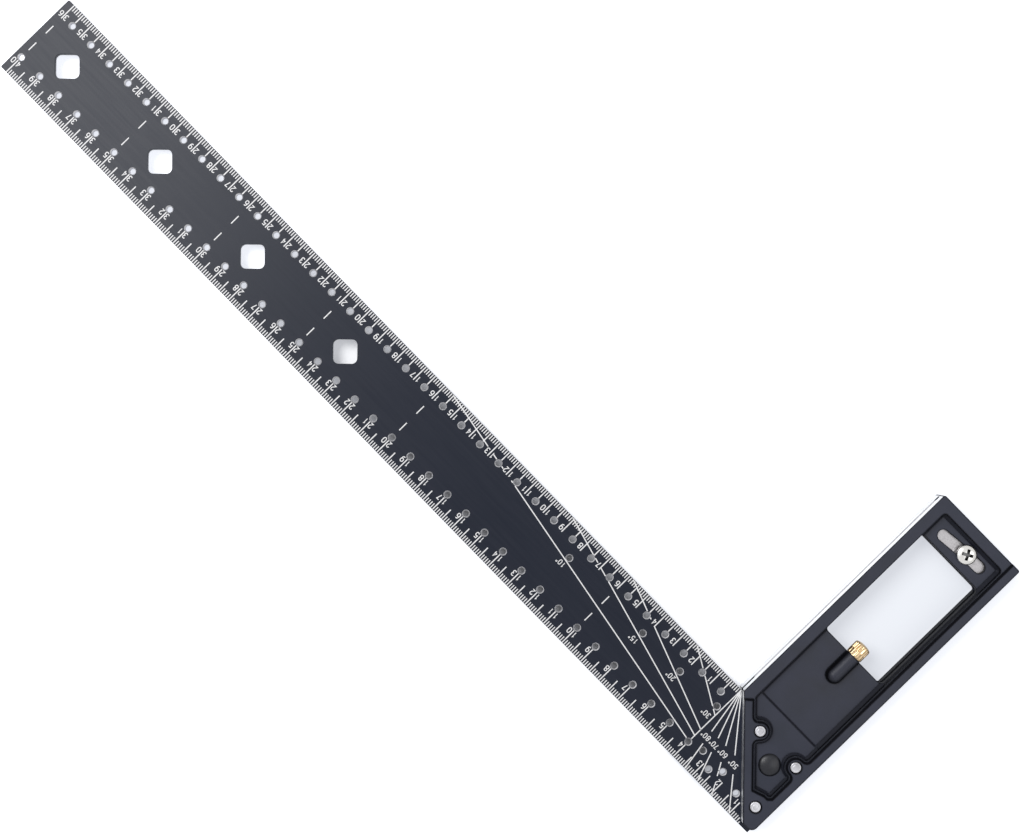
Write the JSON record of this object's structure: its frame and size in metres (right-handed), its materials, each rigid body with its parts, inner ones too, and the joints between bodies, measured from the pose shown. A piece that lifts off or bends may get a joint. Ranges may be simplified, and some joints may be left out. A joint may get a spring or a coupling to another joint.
{
  "type": "try and mitre square",
  "caption": "Black try and mitre square: ruled blade with pencil holes riveted in a stock with a 45 degree face, swing-out support ledge and stowed brass scriber.",
  "frame": {"origin": "middle of the box round the closed square, at the level of the stock's back face", "axes": "+X along the blade from heel to tip, +Y from the stock's free end towards the blade's outer edge, +Z out of the printed face"},
  "size_m": [0.403, 0.1414, 0.012],
  "materials": {
    "stock_paint": "satin black paint on a casting",
    "blade_coat": "satin blue-black coating with pale print",
    "rivet_metal": "turned ends",
    "ledge_steel": "bare, lightly speckled",
    "nut_steel": "bare",
    "screw_steel": "bright plated",
    "pin_black": "black oxide",
    "washer_black": "black oxide",
    "ring_black": "black oxide",
    "scriber_brass": "bright, knurled",
    "needle_steel": "ground point",
    "sleeve_brass": "plain"
  },
  "bodies": {
    "square": {"stock": "stock_paint", "blade": "blade_coat", "blade_rivet_heel": "rivet_metal", "blade_rivet_rail": "rivet_metal", "blade_rivet_mitre": "rivet_metal", "ledge_pivot_pin": "pin_black", "pivot_washer": "washer_black", "pivot_retaining_ring": "ring_black", "scriber_sleeve": "sleeve_brass"},
    "ledge": {"support_ledge": "ledge_steel", "ledge_press_nut": "nut_steel"},
    "screw": {"ledge_screw": "screw_steel"},
    "scriber": {"scriber_head": "scriber_brass", "scriber_needle": "needle_steel"}
  },
  "joints": [
    {"name": "ledge_swing", "type": "hinge", "parent": "square", "child": "ledge", "pos_m": [-0.1886, 0.04685, 0.006], "axis": [0, 0, 1], "range_deg": [0, 5.5]},
    {"name": "screw_turn", "type": "hinge", "parent": "ledge", "child": "screw", "pos_m": [-0.1837, -0.0612, 0.006], "axis": [0, 0, 1], "range_deg": [0, 180]},
    {"name": "scriber_pull", "type": "slide", "parent": "square", "child": "scriber", "axis": [0, -1, 0], "range_m": [0, 0.012]}
  ]
}
